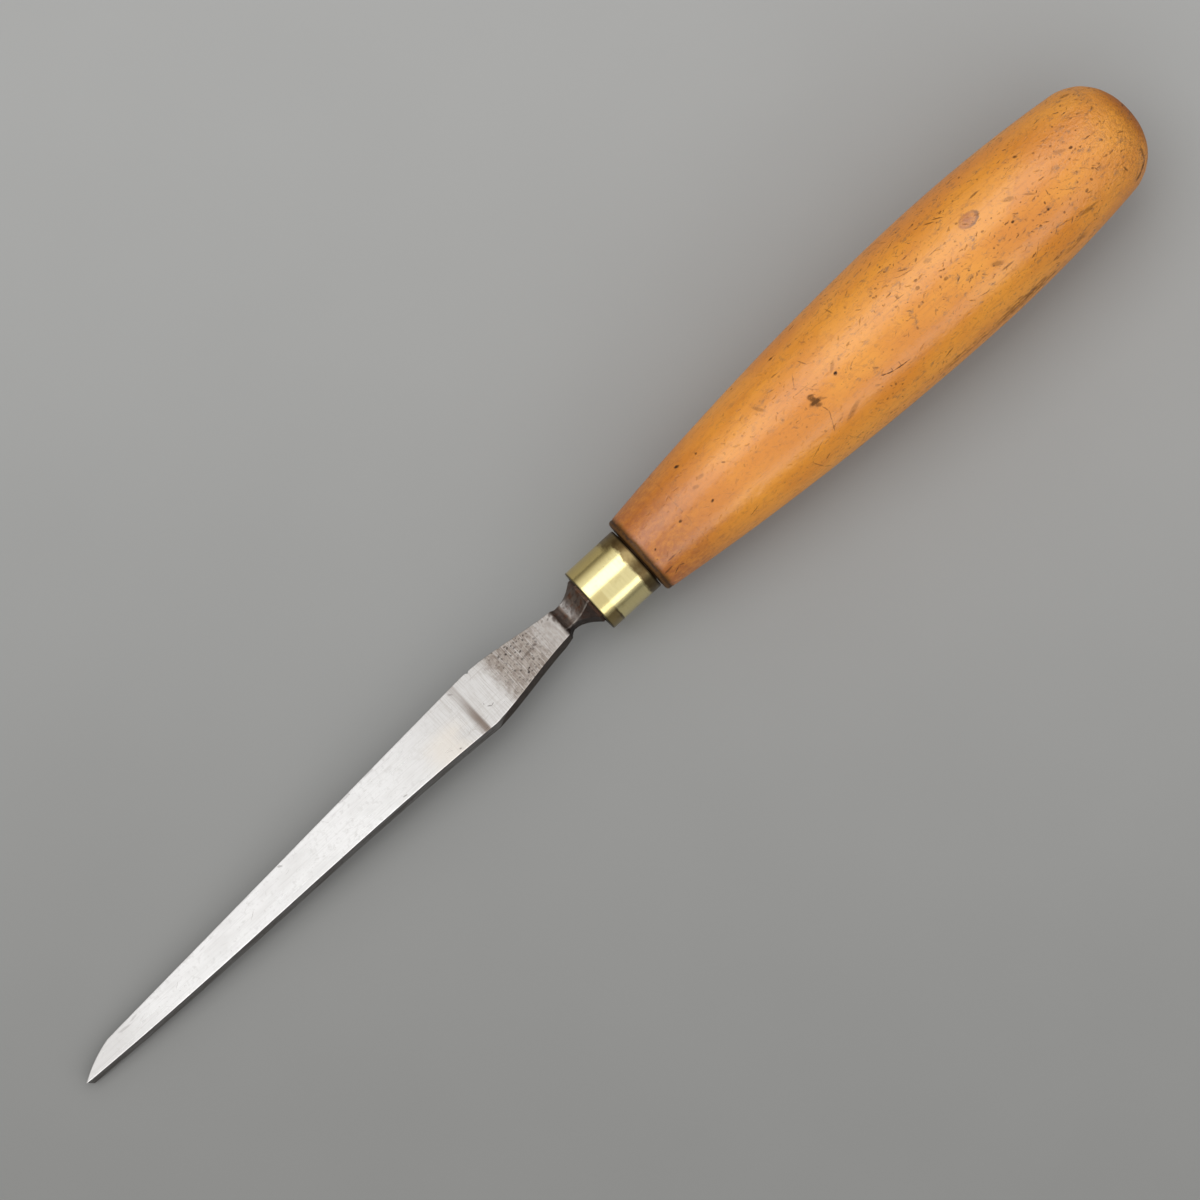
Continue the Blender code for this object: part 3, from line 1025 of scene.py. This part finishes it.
def bladeSection(along, near, far, top, low, lowEase=0.0):
    form = bladeForm
    chip = sum(depth * math.exp(-(((along - at) / reach) ** 2)) for at, reach, depth in form["nicks"])
    waver = form["edgeWaver"] * noise.noise(Vector((along * 900.0, 0.3, 0.0)))
    other = form["edgeWaver"] * noise.noise(Vector((along * 900.0, 7.3, 0.0)))
    corners = [
        Vector((along, -near + other, top)),
        Vector((along, far - chip + waver, top)),
        Vector((along, far + waver, low)),
        Vector((along, -near + other, low)),
    ]
    return cornerRing(corners, (form["ease"], max(form["lowEase"], lowEase)), form["rounded"])


def bladeRings():
    form = bladeForm
    rings = []

    def shareOf(along):
        return (along + form["length"]) / (form["length"] - form["shoulder"])

    def thick(along):
        return form["tipThick"] + (form["shoulderThick"] - form["tipThick"]) * shareOf(along)

    # curved end, from the point back to the knee, with its bevel underneath
    tip = Vector((-form["length"], -form["tipOffset"], 0.0))
    chord = Vector((form["endLength"], form["tipOffset"] - form["kneeOffset"], 0.0))
    outward = Vector((-chord.y, chord.x, 0.0)).normalized()
    first = form["endBevel"] * chord.x / chord.y / chord.length
    for step in range(form["endSteps"] + 1):
        share = step / form["endSteps"]
        corners = []
        for level, at, inset in ((0.0, share, 0.0), (1.0, first + (1.0 - first) * share, form["endBevel"])):
            far = tip + chord * at + outward * (4.0 * form["endBulge"] * at * (1.0 - at) - inset)
            along = tip.x + chord.x * at + form["noseWidth"] * (1.0 - share)
            height = form["face"] - level * thick(along)
            near = Vector((along, -bend(form["pointCurve"], shareOf(along)), height))
            far = Vector((far.x, max(far.y, near.y + 0.5 * form["noseWidth"]), height))
            corners.append((near, far))
        (topNear, topFar), (lowNear, lowFar) = corners
        eases = form["ease"], form["lowEase"]
        rings.append(cornerRing([topNear, topFar, lowFar, lowNear], eases, form["rounded"]))

    # along the blade to its shoulder
    knee = form["endLength"] - form["length"]
    steps = form["bladeSteps"]
    for step in range(1, steps + 1):
        along = knee + (-form["shoulder"] - knee) * step / steps
        far = -form["kneeOffset"] + (form["shoulderFar"] + form["kneeOffset"]) * step / steps
        near = bend(form["pointCurve"], shareOf(along))
        rings.append(bladeSection(along, near, far, form["face"], form["face"] - thick(along)))

    # in to the neck
    steps = form["neckSteps"]
    for step in range(1, steps + 1):
        share = step / steps
        along = -form["shoulder"] + (form["shoulder"] - form["neck"]) * share
        near = bend((form["pointCurve"][3], *form["sweeps"], form["neckHalf"]), share)
        far = bend((form["shoulderFar"], *form["sweeps"], form["neckHalf"]), share)
        low = form["face"] - form["shoulderThick"] - (form["neckThick"] - form["shoulderThick"]) * share
        worn = max(0.0, min(1.0, (along + form["roundStart"]) / (form["roundStart"] - form["neck"])))
        rings.append(bladeSection(along, near, far, form["face"], low, form["neckRound"] * worn**1.5))
    for step, (along, top, low, half) in enumerate(form["hollow"]):
        over = form["setOver"] * (step + 1) / len(form["hollow"])
        lowRound = form["neckRound"] * (1.0 - 0.1 * step)
        rings.append(bladeSection(along, half - over, half + over, top, low, lowRound))

    # out along the bolster
    steps = form["bolsterSteps"]
    for step in range(steps + 1):
        share = step / steps
        grown = share ** form["flare"]
        along = -form["waist"] + (form["waist"] - form["bolsterLand"]) * share
        half = form["waistHalf"] + (form["bolsterHalf"] - form["waistHalf"]) * grown
        high = form["waistHigh"] + (form["bolsterHigh"] - form["waistHigh"]) * grown
        ease = form["ease"] + (form["bolsterChamfer"] - form["ease"]) * grown
        over = form["setOver"] * (1.0 - 0.4 * grown)
        flat = form["rounded"] + (form["chamfered"] - form["rounded"]) * min(1.0, 4.0 * share)
        rings.append(boxRing(along, half, high, ease, flat, over))
    end = form["bolsterHalf"], form["bolsterHigh"], form["bolsterChamfer"], form["chamfered"]
    rings.append(boxRing(0.0, *end, 0.6 * form["setOver"]))

    # the square tang inside the handle
    root, point = (width / 2 for width in form["tangWidths"])
    rings.append(boxRing(0.0, root, root, form["ease"], form["rounded"]))
    rings.append(boxRing(form["tangLength"], point, point, form["ease"], form["rounded"]))
    return rings


def boxRing(along, half, high, ease, flat, over=0.0):
    corners = [Vector((along, y * half + over, z * high)) for y, z in ((-1, 1), (1, 1), (1, -1), (-1, -1))]
    return cornerRing(corners, (ease, ease), flat)


def noteSkins(piece):
    # 0 on the ground face, 1 on the walls, 0.5 underneath
    skins = piece.data.attributes.new("skin", "FLOAT", "FACE")
    for face in piece.data.polygons:
        lean = face.normal.z
        skins.data[face.index].value = 0.0 if lean > 0.35 else 0.5 if lean < -0.7 else 1.0


steelLook = {
    "bright": (0.735, 0.726, 0.717, 1.0),
    "worn": (0.55, 0.535, 0.52, 1.0),
    # painted shade: the walls' grey, darker than the face
    "wall": (0.270, 0.261, 0.257, 1.0),
    "patina": (0.352, 0.314, 0.279, 1.0),
    "brown": (0.165, 0.125, 0.100, 1.0),
    "skin": (0.096, 0.075, 0.065, 1.0),
    "dark": (0.030, 0.022, 0.020, 1.0),
    "rust": (0.135, 0.062, 0.035, 1.0),
    "straw": (0.70, 0.63, 0.54, 1.0),
    # millimetres from the ferrule's mouth
    "patinaStart": -20.3,
    "groundFront": (-38.0, -29.0),
    "groundRear": (-17.0, -21.0),
    "stripeFront": (-28.2, -26.7),
    "stripeRear": (-25.8, -26.35),
    "neck": -6.2,
    "ridge": -1.56,  # near edge of the bolster's upper facet
    "polish": 0.30,
    # pits and smears on the face: along, side, to along, side, half width, strength
    "pits": (
        (-24.3, -2.35, -23.8, -2.75, 0.12, 0.75),
        (-23.8, -2.75, -23.2, -2.60, 0.10, 0.55),
        (-24.6, -1.6, -24.5, -1.5, 0.12, 0.45),
        (-32.5, -4.75, -32.3, -4.80, 0.16, 0.60),
        (-44.8, -4.25, -44.2, -4.40, 0.16, 0.50),
        (-68.1, 1.75, -67.6, 1.40, 0.22, 0.42),
        (-53.6, 2.85, -51.0, 2.95, 0.32, 0.22),
        (-47.5, 3.3, -45.5, 3.4, 0.30, 0.20),
        (-106.2, -1.1, -104.0, -1.35, 0.25, 0.26),
        (-103.5, -1.0, -102.0, -0.7, 0.22, 0.22),
        (-27.9, 4.1, -27.4, 3.6, 0.20, 0.35),
        (-6.50, 0.9, -6.35, 1.5, 0.30, 0.80),
        (-6.60, 2.2, -6.40, 2.5, 0.24, 0.65),
        (-7.3, 1.9, -7.0, 2.1, 0.16, 0.60),
        (-8.2, 2.4, -8.0, 2.5, 0.16, 0.50),
        (-14.2, -0.2, -12.2, 0.1, 0.30, 0.55),
        (-17.8, 2.9, -17.0, 3.1, 0.30, 0.45),
        (-11.9, 0.3, -11.4, 0.1, 0.26, 0.70),
    ),
}


def steelFinish():
    look = steelLook
    finish, shader = newFinish("groundSteel")
    place, along, side, up = toolSpace(0.0)
    plane = put("ShaderNodeCombineXYZ", {"X": along, "Y": side}).outputs[0]
    tight = wobbled(plane, 0.5, 0.22)
    skin = put("ShaderNodeAttribute", {}, attribute_name="skin").outputs["Fac"]
    wall = fade(skin, 0.55, 0.95)
    under = times(fade(skin, 0.05, 0.45), calc("SUBTRACT", 1.0, wall))
    lengthwise = cloud(place, (0.12, 4.5, 2.0), 4.0, 0.65)
    crosswise = cloud(place, (5.5, 0.22, 0.5), 3.0, 0.6)
    mottle = cloud(place, (1.2, 1.2, 1.2), 4.0, 0.66)
    broad = cloud(place, (0.14, 0.30, 0.30), 3.0)

    # bright ground face: haze, scratches, flecks, a straw stain and a dark band across
    colour = tint(fade(lengthwise, 0.46, 0.74, 0.0, 0.48), look["bright"], look["worn"])
    haze = most(fade(broad, 0.48, 0.70, 0.0, 0.36), fade(mottle, 0.48, 0.72, 0.0, 0.64))
    dulled = fade(along, -56.0, -22.0, 0.0, 0.90)
    dulled = calc("ADD", dulled, fade(along, -96.0, -109.0, 0.0, 0.66))
    colour = tint(dulled, colour, look["worn"])
    colour = tint(haze, colour, look["worn"])
    ground = fadedBy(fade(along, *look["groundFront"]), along, *look["groundRear"])
    colour = tint(fadedBy(ground, crosswise, 0.42, 0.68, 0.0, 0.42), colour, look["patina"])
    scored = fadedBy(dulled, lengthwise, 0.52, 0.74, 0.0, 0.40)
    colour = tint(scored, colour, look["patina"])
    straw = addScaled(mottle, 3.0, addScaled(broad, 6.0, along))
    straw = fadedBy(fade(straw, -35.5, -29.5), straw, -23.5, -28.0)
    straw = fadedBy(straw, side, 1.6, -1.6, 0.0, 0.42)
    colour = tint(straw, colour, look["straw"])
    scratches = strokes(tight, 1.9, 1.2, 0.06, 0.65, 1.0, 1)
    flecks = specks(tight, 1.1, 0.15, 0.32, 2)
    wear = most(times(scratches, 0.50), times(flecks, 0.62))
    wear = fadedBy(wear, broad, 0.36, 0.58, 0.40, 1.0)
    pits = times(along, 0.0)
    for alongStart, sideStart, alongEnd, sideEnd, width, strength in look["pits"]:
        ends = Vector((alongStart, sideStart)), Vector((alongEnd, sideEnd))
        pits = addMark(tight, pits, *ends, width, strength)
    stripeAt = addScaled(crosswise, 0.5, along)
    stripe = fadedBy(fade(stripeAt, *look["stripeFront"]), stripeAt, *look["stripeRear"])
    stripe = fadedBy(stripe, side, 3.6, -3.6, 0.32, 0.90)
    colour = tint(stripe, colour, look["brown"])

    # patina towards the neck: grey brown, streaked across, with dark spots in the middle of its length
    waver = addScaled(crosswise, 3.4, addScaled(mottle, 1.4, along))
    patina = fade(waver, look["patinaStart"] + 0.6, look["patinaStart"] + 4.0)
    aged = tint(fade(mottle, 0.36, 0.66, 0.0, 0.62), look["patina"], look["brown"])
    aged = tint(fade(crosswise, 0.46, 0.68, 0.0, 0.50), aged, look["worn"])
    streaks = fade(cloud(place, (9.0, 0.45, 0.5), 2.0), 0.50, 0.66, 0.0, 0.45)
    aged = tint(streaks, aged, look["brown"])
    middle = fadedBy(fade(along, -21.0, -17.0), along, -8.5, -12.5)
    aged = tint(fade(along, -12.5, -8.5, 0.0, 0.30), aged, look["worn"])
    spots = strokes(wobbled(plane, 0.4, 0.40), 0.66, 0.42, 0.27, 0.90, 1.5, 4)
    spots = fadedBy(spots, broad, 0.36, 0.54, 0.40, 1.0)
    aged = tint(fadedBy(spots, middle, 0.0, 1.0, 0.30, 0.95), aged, look["dark"])
    colour = tint(patina, colour, aged)
    colour = tint(wear, colour, look["brown"])
    colour = tint(pits, colour, look["skin"])

    # walls: painted shade, darker grey than the face, streaked from the grinding and browner past the
    # shoulder
    grain = cloud(place, (1.3, 1.3, 1.3), 5.0, 0.65)
    slanted = addScaled(up, -1.2, along)
    aged = tint(fade(grain, 0.36, 0.62), look["dark"], look["skin"])
    shadedSides = tint(fade(lengthwise, 0.40, 0.72, 0.0, 0.70), look["wall"], look["skin"])
    shadedSides = tint(fade(grain, 0.50, 0.70, 0.0, 0.45), shadedSides, look["skin"])
    shadedSides = tint(fade(slanted, -24.6, -23.8), shadedSides, tint(0.50, look["skin"], aged))
    colour = tint(wall, colour, shadedSides)
    colour = tint(times(under, 0.65), colour, look["brown"])

    # forged hollow and bolster: dark in the hollow, a painted highlight where the flare starts, painted
    # shade on the near facet, worn pale along its ridge
    forged = tint(fade(grain, 0.30, 0.56), look["skin"], look["brown"])
    rusty = fade(cloud(place, (0.8, 1.0, 1.0), 4.0), 0.48, 0.66, 0.0, 0.80)
    forged = tint(rusty, forged, look["rust"])
    # painted highlight: the front of the flare painted pale where it catches the light
    glint = fadedBy(fade(along, -4.45, -3.95), along, -2.4, -3.6)
    glint = fadedBy(glint, grain, 0.36, 0.58, 0.15, 0.60)
    forged = tint(fadedBy(glint, side, -1.3, 0.8, 0.40, 1.0), forged, look["worn"])
    # painted shade: the bolster's near facet painted darker than its top facet
    nearFacetShade = times(fade(side, look["ridge"] + 0.02, look["ridge"] - 0.14), 0.80)
    forged = tint(nearFacetShade, forged, look["dark"])
    offRidge = apart(side, look["ridge"])
    worn = fadedBy(fade(offRidge, 0.20, 0.06), up, 0.3, 0.9)
    forged = tint(fadedBy(worn, mottle, 0.32, 0.60, 0.20, 0.80), forged, look["patina"])
    hollow = fade(along, -4.35, -4.75, 0.0, 0.66)
    forged = tint(hollow, forged, look["dark"])
    forged = tint(fade(along, -0.9, -0.2, 0.0, 0.40), forged, look["rust"])
    waver = addScaled(mottle, 0.35, along)
    neck = fade(waver, look["neck"] - 0.08, look["neck"] + 0.34)
    colour = tint(neck, colour, forged)
    feed(shader, {"Base Color": colour})

    bare = most(neck, times(wall, 0.85))
    gloss = addScaled(lengthwise, 0.16, look["polish"] - 0.08)
    gloss = addScaled(patina, 0.14, gloss)
    gloss = most(gloss, times(bare, 0.50))
    feed(shader, {"Metallic": 1.0, "Roughness": gloss})

    height = times(lengthwise, 0.004)
    height = addScaled(times(crosswise, most(ground, patina)), 0.009, height)
    height = addScaled(fadedBy(mottle, patina, 0.0, 1.0, 0.25, 1.0), 0.020, height)
    height = addScaled(times(grain, neck), 0.16, height)
    feed(shader, {"Normal": emboss(height)})
    return finish


blade = pullThrough("steelBlade", bladeRings())
noteSkins(blade)
settle(blade, steelFinish(), "blade", bladeForm["smoothAngle"])

print("chisel dressed")
